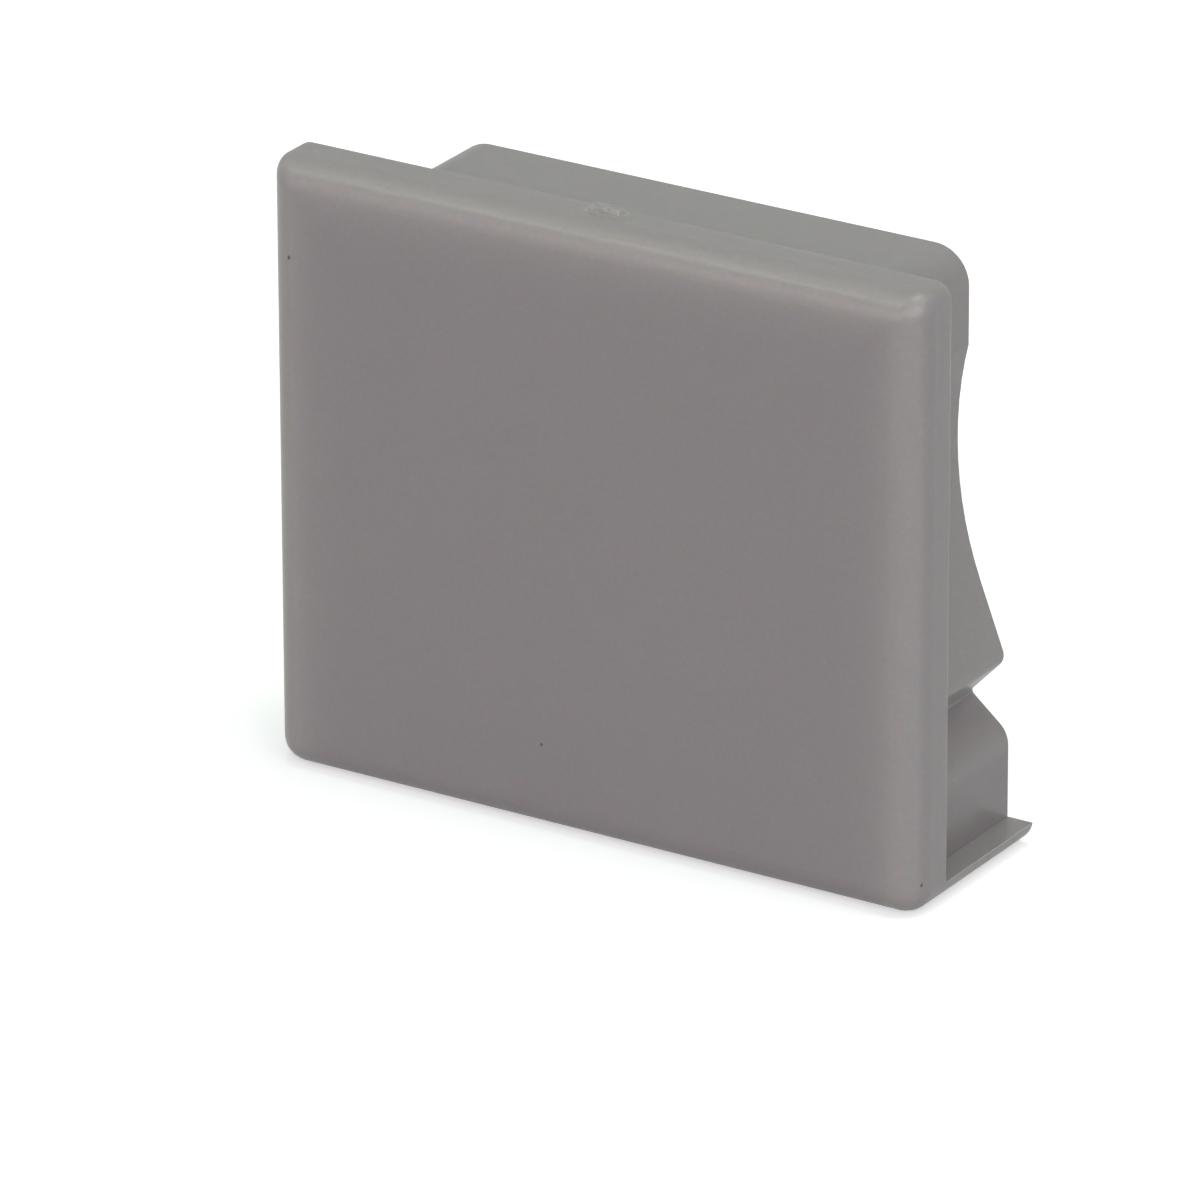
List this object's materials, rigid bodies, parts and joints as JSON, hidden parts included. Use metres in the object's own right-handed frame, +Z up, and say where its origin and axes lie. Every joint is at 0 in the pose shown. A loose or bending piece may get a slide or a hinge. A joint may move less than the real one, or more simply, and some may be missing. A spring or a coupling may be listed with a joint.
{
  "type": "profile end cap",
  "caption": "Moulded push-in end cap: a flat rectangular cover plate with an open, barbed plug behind it that snaps into the cut end of a hollow profile.",
  "frame": {"origin": "middle of the cap's underside, in the plane where the profile's cut end seats against the plate", "axes": "+X along the cover plate's width, +Y out of the seat plane along the plug, into the profile, +Z up the plate"},
  "size_m": [0.025, 0.0076, 0.0219],
  "materials": {
    "grey_plastic": "satin-matte moulded, mid grey, slightly translucent at its edges"
  },
  "bodies": {
    "root": {"end_cap": "grey_plastic"}
  },
  "joints": []
}
